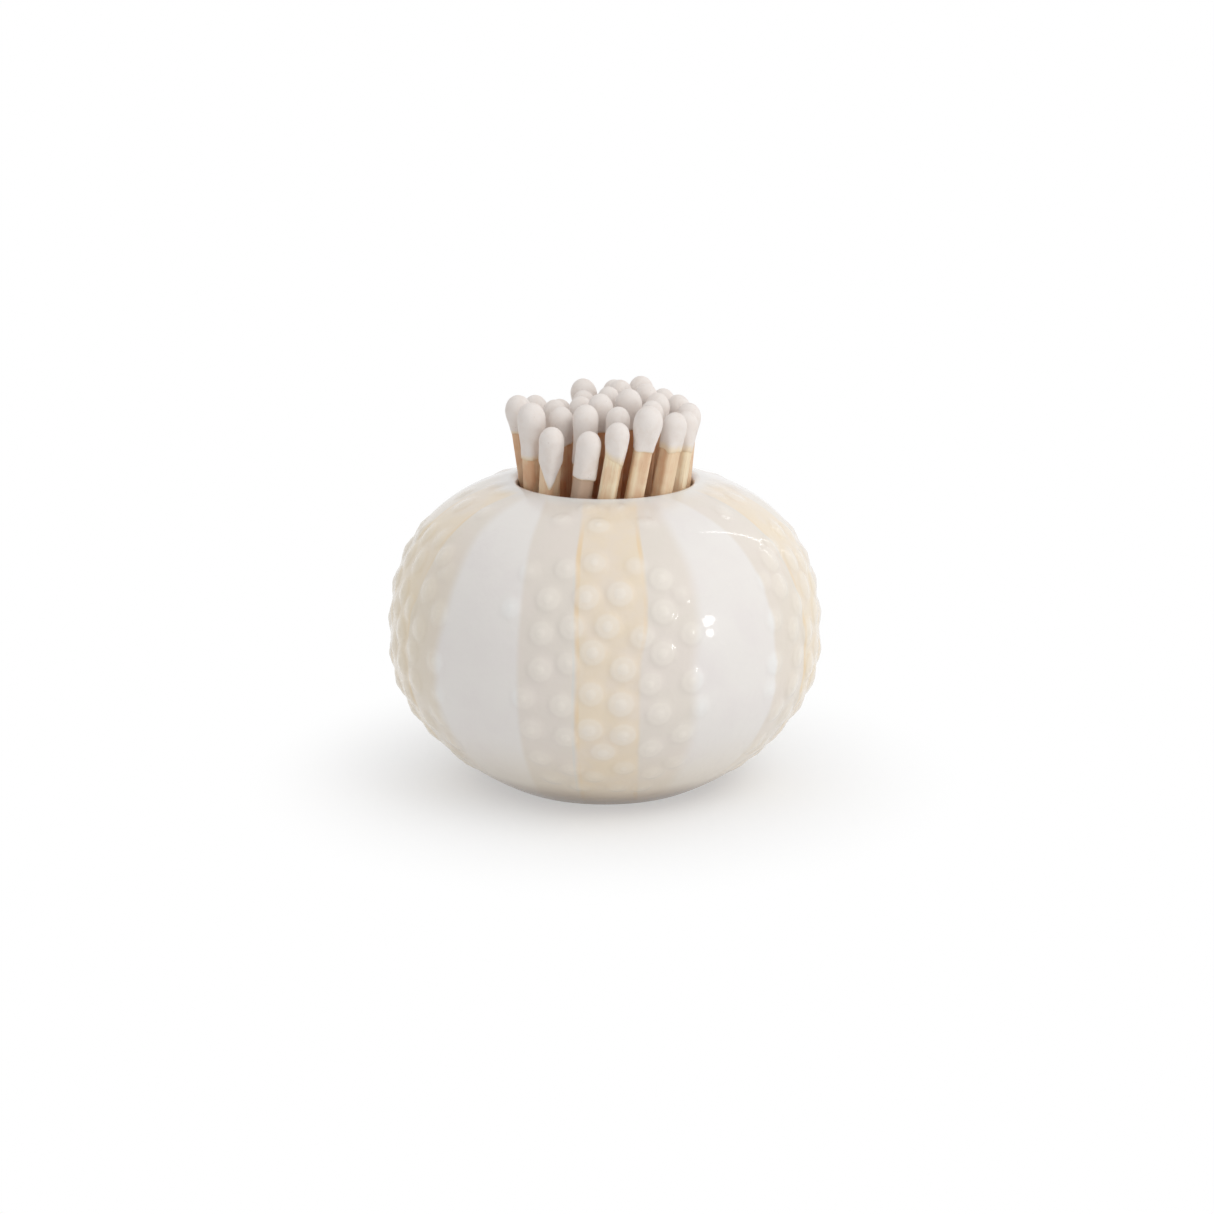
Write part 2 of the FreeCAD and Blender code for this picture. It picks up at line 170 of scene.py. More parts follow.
class PotSettings(bpy.types.PropertyGroup):
    """Sizes and glaze colours of the pot"""

    body_radius: length("Body radius", "Widest radius of the wall without its beads", 30.0)
    body_height: length("Height", "Height of the pot", 42.9)
    belly_height: length("Belly height", "Height of the widest place", 19.3)
    shoulder_fullness: number(
        "Shoulder fullness", "How square the curve above the belly is", 2.66, least=1.0
    )
    base_fullness: number(
        "Base fullness", "How square the curve below the belly is", 1.81, least=1.0
    )
    mouth_radius: length("Mouth radius", "Radius of the mouth inside its lip", 12.1)
    wall: length("Wall", "Thickness of the wall", 3.0)
    lip_round: length("Lip rounding", "Radius of the rolled lip", 1.0)
    foot_radius: length("Foot radius", "Outer radius of the foot ring", 14.5)
    foot_ring_width: length("Foot ring width", "Width of the ring the pot stands on", 3.2)
    foot_round: length("Foot rounding", "Radius of the foot ring's edges", 0.6)
    recess_depth: length("Recess depth", "Depth of the recess under the foot", 0.9)
    floor_height: length("Floor height", "Height of the floor inside", 3.8)
    band_count: IntProperty(name="Bands", description="Number of beaded bands", default=5, min=1)
    bead_radius: length("Bead radius", "Radius of a full-size bead", 1.86)
    bead_height: length("Bead height", "Height of a full-size bead's dome", 0.24)
    boss_radius: length("Boss radius", "Radius of the boss in the middle of a bead", 0.88)
    boss_height: length("Boss height", "Height of the boss in the middle of a bead", 0.13)
    strip_white: colour("White strips", "Glaze of the smooth strips", 237, 233, 229)
    strip_cloud: colour("Strip clouds", "Warmer clouds in the smooth strips", 233, 227, 225)
    strip_bead: colour("Strip beads", "Glaze on beads beside the strips", 244, 244, 242)
    side_tan: colour("Side glaze", "Glaze between the beads beside the middle", 229, 221, 211)
    middle_cream: colour("Middle glaze", "Glaze between a band's middle beads", 236, 220, 196)
    # Painted sheen: random rosy clouds that stand in for the glaze's pearly lustre
    rose_sheen: colour("Pearly clouds", "Rosier clouds in a band's glaze", 232, 222, 215)
    bead_white: colour("Bead tops", "Thin glaze on top of the beads", 243, 236, 226)
    line_amber: colour("Amber lines", "Glaze pooled beside a band's middle", 236, 203, 150)
    line_blue: colour("Blue-grey line", "Cooler glaze beside a band's middle", 214, 219, 219)
    lip_white: colour("Lip", "Glaze of the lip", 230, 231, 230)
    low_warmth: colour("Warm glaze", "Glaze low on the pot and at its sides", 224, 206, 170)
    # Painted shade: a darker brown mixed in just above the foot, where the pot meets the floor
    foot_shade: colour("Foot glaze", "Darker glaze just above the foot", 144, 110, 66)
    bisque: colour("Bare clay", "Unglazed clay under the foot ring", 222, 208, 188)
    bisque_dark: colour("Clay specks", "Darker specks in the bare clay", 196, 180, 158)


class MatchSettings(bpy.types.PropertyGroup):
    """Shapes and colours of the matches"""

    stick_trim: length("Stick trim", "How much a stick's sides are planed off", 0.03)
    coat: length("Coat", "Thickness of the dipped coat on the stick", 0.11)
    taper: length("Taper", "Most length over which a head narrows to its stick", 4.3)
    lumps: length("Lumps", "Unevenness of a dipped head", 0.06)
    wood_light: colour("Pale wood", "Fresh aspen", 248, 233, 203)
    wood_dark: colour("Dark grain", "Darker streaks in the wood", 234, 206, 166)
    # Also the colour of the painted shade on the sticks deep in the bundle
    wood_amber_and_shade: colour("Amber wood", "The warmest sticks", 212, 150, 106)
    wood_pore: colour("Pores", "Short dark pores in the wood", 172, 124, 82)
    wood_stain: colour("Stained wood", "Wood soaked by its dip", 190, 162, 142)
    head_white: colour("Head", "Off-white striking compound", 241, 234, 229)
    head_warm: colour("Head shade", "Thinner, warmer places on a head", 234, 223, 215)
    head_speck: colour("Head specks", "Small specks in the compound", 176, 158, 148)
    head_edge: colour("Dip edge", "Wood that shows through a thin dip", 243, 224, 192)


class PadSettings(bpy.types.PropertyGroup):
    """Colours of the striking pad"""

    binder: colour("Binder", "Binder of the grit", 70, 50, 44)
    binder_dark: colour("Dark binder", "Darker places in the binder", 44, 32, 30)
    rubbed_haze: colour("Rubbed haze", "Haze left by matches that were struck", 120, 96, 84)
    grit: colour("Grit", "Grains that stand out of the binder", 110, 92, 84)


class StageSettings(bpy.types.PropertyGroup):
    """Camera, light and floor"""

    distance: length("Camera distance", "From the camera to the point it looks at", 400.0)
    look_height: length("Look height", "Height of the point the camera looks at", 23.0)
    elevation: number(
        "Elevation",
        "How far the camera looks down",
        math.radians(15.4),
        least=-math.pi / 2,
        unit="ROTATION",
        subtype="ANGLE",
    )
    focal_length: number("Focal length", "In millimetres, for a 36 mm sensor", 84.66, least=1.0)
    fill: number("Fill light", "Strength of the even light", 0.67, max=2.0, subtype="FACTOR")
    key: number("Key light", "Power of the large lamp", 1.0, unit="POWER")
    floor_tone: colour("Floor", "Plain pale floor", 240, 240, 240)


# Shader nodes written as expressions
class Channel:
    """One socket of a node tree. Arithmetic on it adds Math nodes."""

    def __init__(self, nodes, socket):
        self.nodes = nodes
        self.socket = socket

    def math(self, operation, *others):
        return self.nodes.add("ShaderNodeMath", {"operation": operation}, (self, *others))

    def __add__(self, other):
        return self.math("ADD", other)

    __radd__ = __add__

    def __mul__(self, other):
        return self.math("MULTIPLY", other)

    __rmul__ = __mul__

    def __sub__(self, other):
        return self.math("SUBTRACT", other)

    def __rsub__(self, other):
        return self.nodes.add("ShaderNodeMath", {"operation": "SUBTRACT"}, (other, self))

    def __neg__(self):
        return self * -1.0


class Nodes:
    """Adds nodes to one node tree."""

    def __init__(self, tree):
        self.tree = tree
        tree.nodes.clear()

    def add(self, kind, settings=None, inputs=(), output=0):
        """A node of a type, with its settings and the values or links of its sockets."""
        node = self.tree.nodes.new(kind)
        for name, value in (settings or {}).items():
            setattr(node, name, value)
        places = inputs.items() if isinstance(inputs, dict) else enumerate(inputs)
        for place, value in places:
            if isinstance(value, Channel):
                self.tree.links.new(value.socket, node.inputs[place])
            else:
                node.inputs[place].default_value = value
        return Channel(self, node.outputs[output]) if node.outputs else node

    def position(self):
        """The place on the object, in millimetres."""
        place = self.add("ShaderNodeTexCoord", output=3)
        return self.add("ShaderNodeVectorMath", {"operation": "SCALE"}, {0: place, 3: 1 / MM})

    def attribute(self, name, vector=False):
        """A value that a mesh carries at its points."""
        return self.add("ShaderNodeAttribute", {"attribute_name": name}, output=1 if vector else 2)

    def split(self, vector):
        """The x, y and z of a vector."""
        parts = self.add("ShaderNodeSeparateXYZ", inputs=(vector,))
        return [Channel(self, socket) for socket in parts.socket.node.outputs]

    def noise(self, vector, scale, detail=2.0, roughness=0.5):
        sockets = {"Vector": vector, "Scale": scale, "Detail": detail, "Roughness": roughness}
        return self.add("ShaderNodeTexNoise", inputs=sockets)

    def streaks(self, vector, factors, scale, detail=2.0, roughness=0.5):
        """Noise drawn out along the axes that have small factors."""
        drawn = self.add("ShaderNodeVectorMath", {"operation": "MULTIPLY"}, (vector, factors))
        return self.noise(drawn, scale, detail, roughness)

    def spots(self, vector, scale):
        """Distance from the nearest of many scattered points."""
        return self.add("ShaderNodeTexVoronoi", inputs={"Vector": vector, "Scale": scale})

    def ramp(self, value, low, high):
        """0 below low, 1 above high and smooth between them."""
        settings = {"interpolation_type": "SMOOTHSTEP"}
        sockets = {"Value": value, "From Min": low, "From Max": high}
        return self.add("ShaderNodeMapRange", settings, sockets)

    def fall(self, value, low, high):
        """1 below low, 0 above high and smooth between them."""
        return 1.0 - self.ramp(value, low, high)

    def blend(self, factor, first, second):
        """A mix of two colours, each a channel or three numbers."""
        ends = [end if isinstance(end, Channel) else (*end, 1.0) for end in (first, second)]
        sockets = {0: factor, 6: ends[0], 7: ends[1]}
        return self.add("ShaderNodeMix", {"data_type": "RGBA"}, sockets, output=2)

    def bump(self, height, distance):
        """A normal from a height, where distance is in millimetres."""
        sockets = {"Strength": 1.0, "Distance": distance * MM, "Height": height}
        return self.add("ShaderNodeBump", inputs=sockets)


def new_surface(name):
    """An empty material and its nodes."""
    material = bpy.data.materials.new(name)
    material.use_nodes = True
    return material, Nodes(material.node_tree)


def finish_surface(nodes, sockets):
    """Principled surface of the given sockets."""
    surface = nodes.add("ShaderNodeBsdfPrincipled", inputs=sockets)
    nodes.add("ShaderNodeOutputMaterial", inputs={"Surface": surface})


def glaze_material(pot):
    """Pearly glaze: white strips, tan and cream bands, pale bead tops and pooled lines."""
    material, nodes = new_surface("glaze")
    place = nodes.position()
    x, y, z = nodes.split(place)
    proud = nodes.attribute("proud")
    cloud = nodes.noise(place, 0.16, 3.0, 0.55)
    haze = nodes.noise(place, 0.55, 2.0)
    drift = nodes.noise(place, 0.09, 1.0) - 0.5

    # Millimetres across a band from its middle line
    radius = (x * x + y * y).math("SQRT")
    half_step = math.pi / pot.band_count
    heading = x.math("ARCTAN2", -y).math("WRAP", half_step, -half_step)
    across = heading * radius + drift * 0.9

    # A band and its cream middle, whose right edges bulge over the shoulder
    bulge = nodes.ramp(z, *BULGE_STARTS) * nodes.fall(z, *BULGE_ENDS)
    left_edge = radius * -0.217 - 5.3
    right_edge = radius * 0.37 + 1.2 + bulge
    band = nodes.ramp(across - left_edge, -0.4, 0.5) * nodes.fall(across - right_edge, -1.2, 1.0)
    band = band * nodes.fall(z + drift * 0.6, *BANDS_END)
    middle_left = across + radius * 0.067 + 1.9
    middle_right = across - radius * 0.023 - 3.9 - bulge
    middle = nodes.ramp(middle_left, -0.3, 0.3) * nodes.fall(middle_right, -0.35, 0.35)

    # Thick glaze between the beads, and thin glaze over them
    valley = nodes.blend(middle, pot.side_tan, pot.middle_cream)
    # Rosy clouds over the valleys are painted sheen for the pearly lustre
    valley_with_sheen = nodes.blend(nodes.ramp(cloud, 0.35, 0.7) * 0.5, valley, pot.rose_sheen)
    top = nodes.ramp(proud, 0.2, 0.6) * 0.6 + nodes.ramp(proud, 0.68, 0.95) * 0.4
    beads = nodes.blend(top * (haze * 0.35 + 0.5), valley_with_sheen, pot.bead_white)

    # Amber lines pooled along the middle's edges, and a cool one beside the left edge
    pooled = nodes.streaks(place, (0.2, 0.2, 1.0), 0.12)
    edge_left = nodes.fall((middle_left - 0.1).math("ABSOLUTE"), 0.12, 0.5)
    edge_right = nodes.fall((middle_right + 0.1).math("ABSOLUTE"), 0.1, 0.42)
    warm_left = edge_left * nodes.ramp(pooled, 0.3, 0.6)
    warm_right = edge_right * nodes.ramp(pooled, 0.42, 0.66)
    amber = (warm_left + warm_right).math("MINIMUM", 1.0) * (1.0 - proud * 0.7) * 0.8
    beside = middle_left + 0.45
    cool = nodes.ramp(beside, -0.25, 0.0) * nodes.fall(beside, 0.0, 0.3)
    lined = nodes.blend(cool * nodes.fall(pooled, 0.4, 0.55) * 0.35, beads, pot.line_blue)
    lined = nodes.blend(amber * nodes.fall(z, *LINES_END) * 0.75, lined, pot.line_amber)

    # White strips between the bands, and the lip
    white = nodes.blend(nodes.ramp(cloud, 0.4, 0.75) * 0.6, pot.strip_white, pot.strip_cloud)
    white = nodes.blend(nodes.ramp(proud, 0.05, 0.7) * 0.6, white, pot.strip_bead)
    coloured = nodes.blend(band, white, lined)
    coloured = nodes.blend(nodes.ramp(z, *LIP_STARTS) * 0.7, coloured, pot.lip_white)

    # Warmer glaze low down and at the sides, painted shade that darkens the glaze just above the
    # foot, and bare clay under it
    coloured = nodes.blend(nodes.fall(z, *WARMTH_ENDS) * 0.45, coloured, pot.low_warmth)
    sides = nodes.ramp(-x, 14.0, 28.0) * 0.42 + nodes.ramp(x, 16.0, 29.0) * 0.2
    coloured = nodes.blend(sides * band, coloured, pot.low_warmth)
    # Painted shade above the foot, with a wavy upper edge
    foot_shade_mask = nodes.fall(z + drift * 1.5, *FOOT_SHADE_ENDS) * 0.9
    coloured = nodes.blend(foot_shade_mask, coloured, pot.foot_shade)
    bare = nodes.fall(z, *CLAY_ENDS) * nodes.ramp(radius, *CLAY_STARTS)
    grit = nodes.noise(place, 5.0, 3.0)
    clay = nodes.blend(grit, pot.bisque, pot.bisque_dark)

    peel = nodes.noise(place, 0.9, 1.0) * 0.6 + haze * 0.4
    finish_surface(
        nodes,
        {
            "Base Color": nodes.blend(bare, coloured, clay),
            "Roughness": haze * 0.12 + 0.3 + bare * 0.4,
            "Coat Weight": (1.0 - bare) * 0.7,
            "Coat Roughness": 0.07,
            "Normal": nodes.bump(peel + grit * bare * 0.8, 0.05),
        },
    )
    return material


def wood_material(matches):
    """Split aspen: long fibres, fine pores, pale and amber streaks, a soaked patch, and painted
    shade on the sticks deep in the bundle.
    """
    material, nodes = new_surface("match_wood")
    grain = nodes.attribute("grain", vector=True)
    fibre = nodes.streaks(grain, (1.0, 1.0, 0.045), 3.2, 4.0, 0.65)
    streak = nodes.streaks(grain, (1.0, 1.0, 0.05), 0.8)
    pores = nodes.streaks(grain, (1.0, 1.0, 0.09), 7.5)
    cloud = nodes.noise(grain, 0.35, 2.0)
    wood = nodes.blend(nodes.ramp(fibre, 0.38, 0.8) * 0.8, matches.wood_light, matches.wood_dark)
    # Amber streaks, each stick's own tone, and painted shade on the sticks deep in the bundle
    warmth_and_shade = nodes.ramp(streak + cloud, 0.85, 1.25) * 0.4 + nodes.attribute("tone") * 0.7
    wood = nodes.blend(warmth_and_shade.math("MINIMUM", 1.0), wood, matches.wood_amber_and_shade)
    wood = nodes.blend(nodes.ramp(pores, 0.62, 0.72) * 0.22, wood, matches.wood_pore)
    finish_surface(
        nodes,
        {
            "Base Color": nodes.blend(nodes.attribute("stained") * 0.9, wood, matches.wood_stain),
            "Roughness": fibre * 0.2 + 0.55,
            "Normal": nodes.bump(fibre * 0.7 + pores * 0.3, 0.05),
        },
    )
    return material


def head_material(matches):
    """Chalky dipped compound that thins out and shows the wood at its lower edge."""
    material, nodes = new_surface("match_head")
    grain = nodes.attribute("grain", vector=True)
    mottle = nodes.noise(grain, 0.7, 3.0, 0.6)
    chalk = nodes.noise(grain, 5.0, 4.0, 0.7)
    shade = nodes.ramp(mottle, 0.4, 0.75) * 0.6
    compound = nodes.blend(shade, matches.head_white, matches.head_warm)
    speck = nodes.fall(nodes.spots(grain, 0.75), 0.02, 0.09) * 0.3
    compound = nodes.blend(speck, compound, matches.head_speck)
    thin = nodes.fall(nodes.attribute("cover") + (mottle - 0.5) * 0.6, 0.0, 0.8)
    finish_surface(
        nodes,
        {
            "Base Color": nodes.blend(thin * 0.9, compound, matches.head_edge),
            "Roughness": chalk * 0.15 + 0.72,
            "Normal": nodes.bump(chalk * 0.55 + mottle * 0.45, 0.06),
        },
    )
    return material


def grit_material(pad):
    """Striking pad: dark binder with fine grit and a rubbed haze."""
    material, nodes = new_surface("striking_surface")
    place = nodes.position()
    grit = nodes.spots(place, 4.5)
    fine = nodes.noise(place, 6.0, 4.0, 0.7)
    rubbed = nodes.streaks(place, (1.0, 0.15, 1.0), 0.5, 3.0)
    dark = nodes.blend(fine, pad.binder, pad.binder_dark)
    dark = nodes.blend(nodes.ramp(rubbed, 0.55, 0.8) * 0.4, dark, pad.rubbed_haze)
    finish_surface(
        nodes,
        {
            "Base Color": nodes.blend(nodes.ramp(grit, 0.0, 0.25), pad.grit, dark),
            "Roughness": fine * 0.2 + 0.75,
            "Normal": nodes.bump(fine * 0.5 - grit, 0.12),
        },
    )
    return material


# Shared mesh helpers
def new_piece(name, node, material, points, faces, values):
    """A mesh piece that stands for one CAD node. Points are in millimetres."""
    mesh = bpy.data.meshes.new(name)
    mesh.from_pydata((np.asarray(points) * MM).tolist(), [], faces)
    for label, numbers in values.items():
        numbers = np.asarray(numbers, dtype=np.float32)
        kind, field = ("FLOAT_VECTOR", "vector") if numbers.ndim == 2 else ("FLOAT", "value")
        layer = mesh.attributes.new(label, kind, "POINT")
        layer.data.foreach_set(field, numbers.ravel())
    mesh.polygons.foreach_set("use_smooth", [True] * len(mesh.polygons))
    mesh.validate()
    mesh.update()
    mesh.materials.append(material)
    piece = bpy.data.objects.new(name, mesh)
    bpy.context.scene.collection.objects.link(piece)
    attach(piece, "root")
    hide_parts(node)
    return piece


def ring_faces(lower, upper):
    """Quads between two rings of the same number of points."""
    return list(zip(lower, lower[1:] + lower[:1], upper[1:] + upper[:1], upper))


def grid_faces(numbers):
    """Quads between the rows of a table of point numbers, each row a ring."""
    rings = numbers.tolist()
    return [face for lower, upper in zip(rings, rings[1:]) for face in ring_faces(lower, upper)]


def thinning_faces(fine, coarse, step):
    """Faces from a fine ring to one that keeps every step-th column."""
    faces = []
    for column, corner in enumerate(coarse):
        following = coarse[(column + 1) % len(coarse)]
        strip = [fine[(column * step + i) % len(fine)] for i in range(step + 1)]
        middle = step // 2
        faces += [(corner, strip[i + 1], strip[i]) for i in range(middle)]
        faces.append((corner, following, strip[middle]))
        faces += [(following, strip[i + 1], strip[i]) for i in range(middle, step)]
    return faces


def flip(faces):
    """The faces turned inside out."""
    return [tuple(reversed(face)) for face in faces]


def unevenness(points, scale, seed):
    """Smooth noise at each point, between about -1 and 1."""
    away = Vector((seed * 17.3, seed * 5.1, seed * 9.7))
    return np.array([noise.noise(Vector(point) * scale + away) for point in points])


def share_of(value, start, span):
    """0 at start, 1 at span beyond it and even between them."""
    return np.clip((value - start) / span, 0, 1)


def smooth(share):
    """Eases a share of 0 to 1 in and out."""
    return share * share * (3 - 2 * share)


# The pot
class Shell:
    """The pot's outline in millimetres, as points with outward normals."""

    def __init__(self, pot):
        self.radius, self.height = pot.body_radius / MM, pot.body_height / MM
        self.belly, self.mouth = pot.belly_height / MM, pot.mouth_radius / MM
        self.foot, self.wall = pot.foot_radius / MM, pot.wall / MM
        above, below = pot.shoulder_fullness, pot.base_fullness
        rise = self.height - self.belly
        crown = rise / (1 - (self.mouth / self.radius) ** above) ** (1 / above)
        keel = self.belly / (1 - (self.foot / self.radius) ** below) ** (1 / below)
        lowest = math.asin((self.belly / keel) ** (below / 2))
        highest = math.asin((rise / crown) ** (above / 2))
        low = np.linspace(lowest, 0, OUTLINE_POINTS, endpoint=False)
        high = np.linspace(0, highest, OUTLINE_POINTS)
        reach = np.concatenate([np.cos(low) ** (2 / below), np.cos(high) ** (2 / above)])
        level = np.concatenate(
            [-keel * np.sin(low) ** (2 / below), crown * np.sin(high) ** (2 / above)]
        )
        self.points = np.stack([reach * self.radius, self.belly + level], axis=1)
        runs = np.linalg.norm(np.diff(self.points, axis=0), axis=1)
        self.lengths = np.concatenate([[0], np.cumsum(runs)])
        slope = np.gradient(self.points, self.lengths, axis=0)
        normal = np.stack([slope[:, 1], -slope[:, 0]], axis=1)
        self.normals = normal / np.linalg.norm(normal, axis=1)[:, None]

    def at(self, lengths):
        """Points and normals at lengths along the outline."""
        return [
            np.stack([np.interp(lengths, self.lengths, axis) for axis in table.T], axis=1)
            for table in (self.points, self.normals)
        ]

    def length_at_height(self, height):
        return float(np.interp(height, self.points[:, 1], self.lengths))

    def tilt(self, place):
        """The angle of the outward normal at a point of the outline."""
        outward, upward = self.normals[place]
        return math.atan2(upward, outward)

    def inset(self, depth):
        """The outline moved inwards."""
        return self.points - self.normals * depth


def arc(centre, radius, start, end, count):
    """Points on an arc of the pot's section."""
    turns = np.linspace(start, end, count)
    return [
        (centre[0] + radius * math.cos(turn), centre[1] + radius * math.sin(turn))
        for turn in turns
    ]


def column_headings(bands):
    """Headings of the columns: fine over the beads and wide over the smooth strips."""
    step = 2 * math.pi / bands
    half = BEADED_ARC / 2
    fine = np.linspace(-half, half, BEADED_COLUMNS, endpoint=False)
    wide = np.linspace(half, step - half, STRIP_COLUMNS, endpoint=False)
    return np.concatenate([np.concatenate([fine, wide]) + band * step for band in range(bands)])


def turned(profile, headings):
    """Rings of points round the upright axis."""
    profile = np.asarray(profile)
    across = np.stack([np.sin(headings), -np.cos(headings)], axis=1)
    rings = np.empty((len(profile), len(headings), 3))
    rings[..., :2] = profile[:, None, :1] * across[None]
    rings[..., 2] = profile[:, 1:2]
    return rings


def bead_places(pot, shell):
    """Every bead as (heading, length along the outline, size), each band a little different."""
    places = []
    for band in range(pot.band_count):
        side = -1 if band % 2 else 1
        stray = 1.0 if band else 0.0
        for index, (heading, height, size) in enumerate(BEADS):
            sway = stray * HEADING_STRAY * math.sin(2.1 * index + 3.7 * band)
            lift = stray * HEIGHT_STRAY * math.cos(1.3 * index + 2.9 * band)
            grow = 1.0 + stray * SIZE_STRAY * math.sin(0.9 * index + 1.7 * band)
            turn = math.radians(side * heading + sway) + band * 2 * math.pi / pot.band_count
            along = shell.length_at_height(min(HIGHEST_BEAD, height + lift))
            places.append((turn, along, size * grow))
    return places


def bead_field(pot, shell, base):
    """Height of the beads above the bare wall at each point."""
    field = np.full(base.shape[:2], -1.0)
    for turn, along, size in bead_places(pot, shell):
        (point,), _ = shell.at(np.array([along]))
        centre = np.array([point[0] * math.sin(turn), -point[0] * math.cos(turn), point[1]])
        reach = pot.bead_radius / MM * (0.55 + 0.45 * size)
        away = np.linalg.norm(base - centre, axis=2)
        near = away < 3 * reach
        dome = pot.bead_height / MM * size * (1 - (away[near] / reach) ** DOME_POWER)
        boss = pot.boss_radius / MM * size**0.5
        dome += pot.boss_height / MM * size * (1 - smooth(share_of(away[near] / boss, 0.35, 0.65)))
        field[near] = np.maximum(field[near], dome)
    soft = 0.1
    return 0.5 * (field + np.sqrt(field**2 + soft**2))


def inner_profile(pot, shell, top):
    """From the lip down the inner wall to the middle of the floor."""
    lip, floor = pot.lip_round / MM, pot.floor_height / MM
    inside = shell.inset(shell.wall)
    clear = (inside[:, 1] > floor + 0.3) & (inside[:, 0] > shell.mouth + 0.25)
    clear = inside[clear][::-1]
    cavity = clear[np.linspace(0, len(clear) - 1, CAVITY_ROWS).astype(int)]
    profile = arc(shell.inset(lip)[top], lip, shell.tilt(top), math.pi, LIP_POINTS)[1:]
    profile += [(shell.mouth, cavity[0][1] + 0.4), *map(tuple, cavity)]
    return profile + [(cavity[-1][0] - 1.2, floor + 0.02), (8.0, floor), (3.0, floor)]


def foot_profile(pot, shell, low):
    """From the wall round the foot ring to the middle of the recess."""
    foot, recess = pot.foot_round / MM, pot.recess_depth / MM
    ring_inner = shell.foot - pot.foot_ring_width / MM
    down = -math.pi / 2
    profile = arc(shell.inset(foot)[low], foot, shell.tilt(low), down, FOOT_POINTS)[1:]
    profile += arc((ring_inner + foot, foot), foot, down, -math.pi, FOOT_POINTS)
    return profile + [(reach, recess) for reach in (ring_inner, ring_inner - 0.6, 7.0, 2.5)]


def closed_off(profile, headings, edge, start):
    """Points and faces that go on from an edge of the wall and meet on the axis."""
    rings = turned(profile, headings[::COLUMN_STEP])
    numbers = start + np.arange(rings[..., 0].size).reshape(rings.shape[:2])
    first, last = numbers[0].tolist(), numbers[-1].tolist()
    centre = start + numbers.size
    faces = thinning_faces(edge.tolist(), first, COLUMN_STEP) + flip(grid_faces(numbers))
    faces += [(here, centre, following) for here, following in zip(last, last[1:] + last[:1])]
    return np.concatenate([rings.reshape(-1, 3), [[0.0, 0.0, profile[-1][1]]]]), faces


class MATCHSTRIKER_OT_pot(bpy.types.Operator):
    """Models the beaded pot over its CAD node and glazes it"""

    bl_idname = "match_striker.pot"
    bl_label = "Glazed pot"

    def execute(self, context):
        pot = context.scene.match_striker_pot
        shell = Shell(pot)
        headings = column_headings(pot.band_count)

        # The outer wall, from where the foot's rounding ends to where the lip's starts
        lip, foot = pot.lip_round / MM, pot.foot_round / MM
        inset = shell.inset(lip)
        top = int(np.argmax((inset[:, 0] < shell.mouth + lip) & (inset[:, 1] > shell.belly)))
        low = int(np.argmax(shell.inset(foot)[:, 1] >= foot))
        rows = np.linspace(shell.lengths[low], shell.lengths[top], WALL_ROWS)
        outline, normals = shell.at(rows)
        base = turned(outline, headings)

        # Beads and a slightly wavy wall, both fading out towards the rounded edges
        rise = bead_field(pot, shell, base)
        rise += WALL_WAVE * unevenness(base.reshape(-1, 3), 0.11, 1).reshape(rise.shape)
        fade = share_of(rows, rows[0], 2.5) * share_of(rows[-1] - rows, 0, 1.2)
        rise *= smooth(fade)[:, None]
        shown = (base + turned(normals, headings) * rise[..., None]).reshape(-1, 3)

        points = [shown]
        grid = np.arange(len(shown)).reshape(base.shape[:2])
        faces = grid_faces(grid)
        inner, under = inner_profile(pot, shell, top), foot_profile(pot, shell, low)
        for profile, edge, upward in ((inner, grid[-1], True), (under, grid[0], False)):
            more, closing = closed_off(profile, headings, edge, sum(map(len, points)))
            points.append(more)
            faces += flip(closing) if upward else closing
        points = np.concatenate(points)
        proud = np.zeros(len(points))
        highest = pot.bead_height + pot.boss_height
        proud[: len(shown)] = np.clip(rise.ravel() / highest * MM, 0, 1)
        material = glaze_material(pot)
        new_piece("pot_glazed", "pot", material, points, faces, {"proud": proud})
        return {"FINISHED"}


# The matches
def node_points(name):
    """The corners of a CAD node's mesh, in millimetres."""
    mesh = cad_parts[name].data
    corners = np.empty(len(mesh.vertices) * 3)
    mesh.vertices.foreach_get("co", corners)
    return corners.reshape(-1, 3) / MM


class Match:
    """Where one match stands, read from its CAD stick and head."""

    def __init__(self, name):
        self.number = int(name[-2:])
        corners = np.unique(np.round(node_points(f"{name}_stick"), 3), axis=0)
        middle = corners.mean(axis=0)
        along = np.linalg.svd(corners - middle)[2][0]
        self.along = along * math.copysign(1.0, along[2])
        base = corners[(corners - middle) @ self.along < 0]
        spans = sorted((np.linalg.norm(away), tuple(away)) for away in base[1:] - base[0])
        side = np.array(spans[0][1]) / spans[0][0]
        self.side, self.other = side, np.cross(self.along, side)
        self.half = spans[0][0] / 2
        self.foot = base.mean(axis=0)
        self.stick_top = ((corners - self.foot) @ self.along).max()
        head = node_points(f"{name}_head") - self.foot
        across, over, up = head @ self.side, head @ self.other, head @ self.along
        self.top = up.max()
        self.bulb = max(abs(across).max(), abs(over).max())
        # How high the dip starts at each corner of the stick
        self.edge = {
            (i, j): up[(across * i > self.half) & (over * j > self.half)].min()
            for i in (-1, 1)
            for j in (-1, 1)
        }

    def place(self, across, over, up):
        """Points of this match, from their places across and along it."""
        spread = (across[:, None] * self.side, over[:, None] * self.other, up[:, None] * self.along)
        return self.foot + sum(spread)

    def wander(self, rate):
        """A number between -1 and 1 that belongs to this match."""
        return math.sin(self.number * rate)


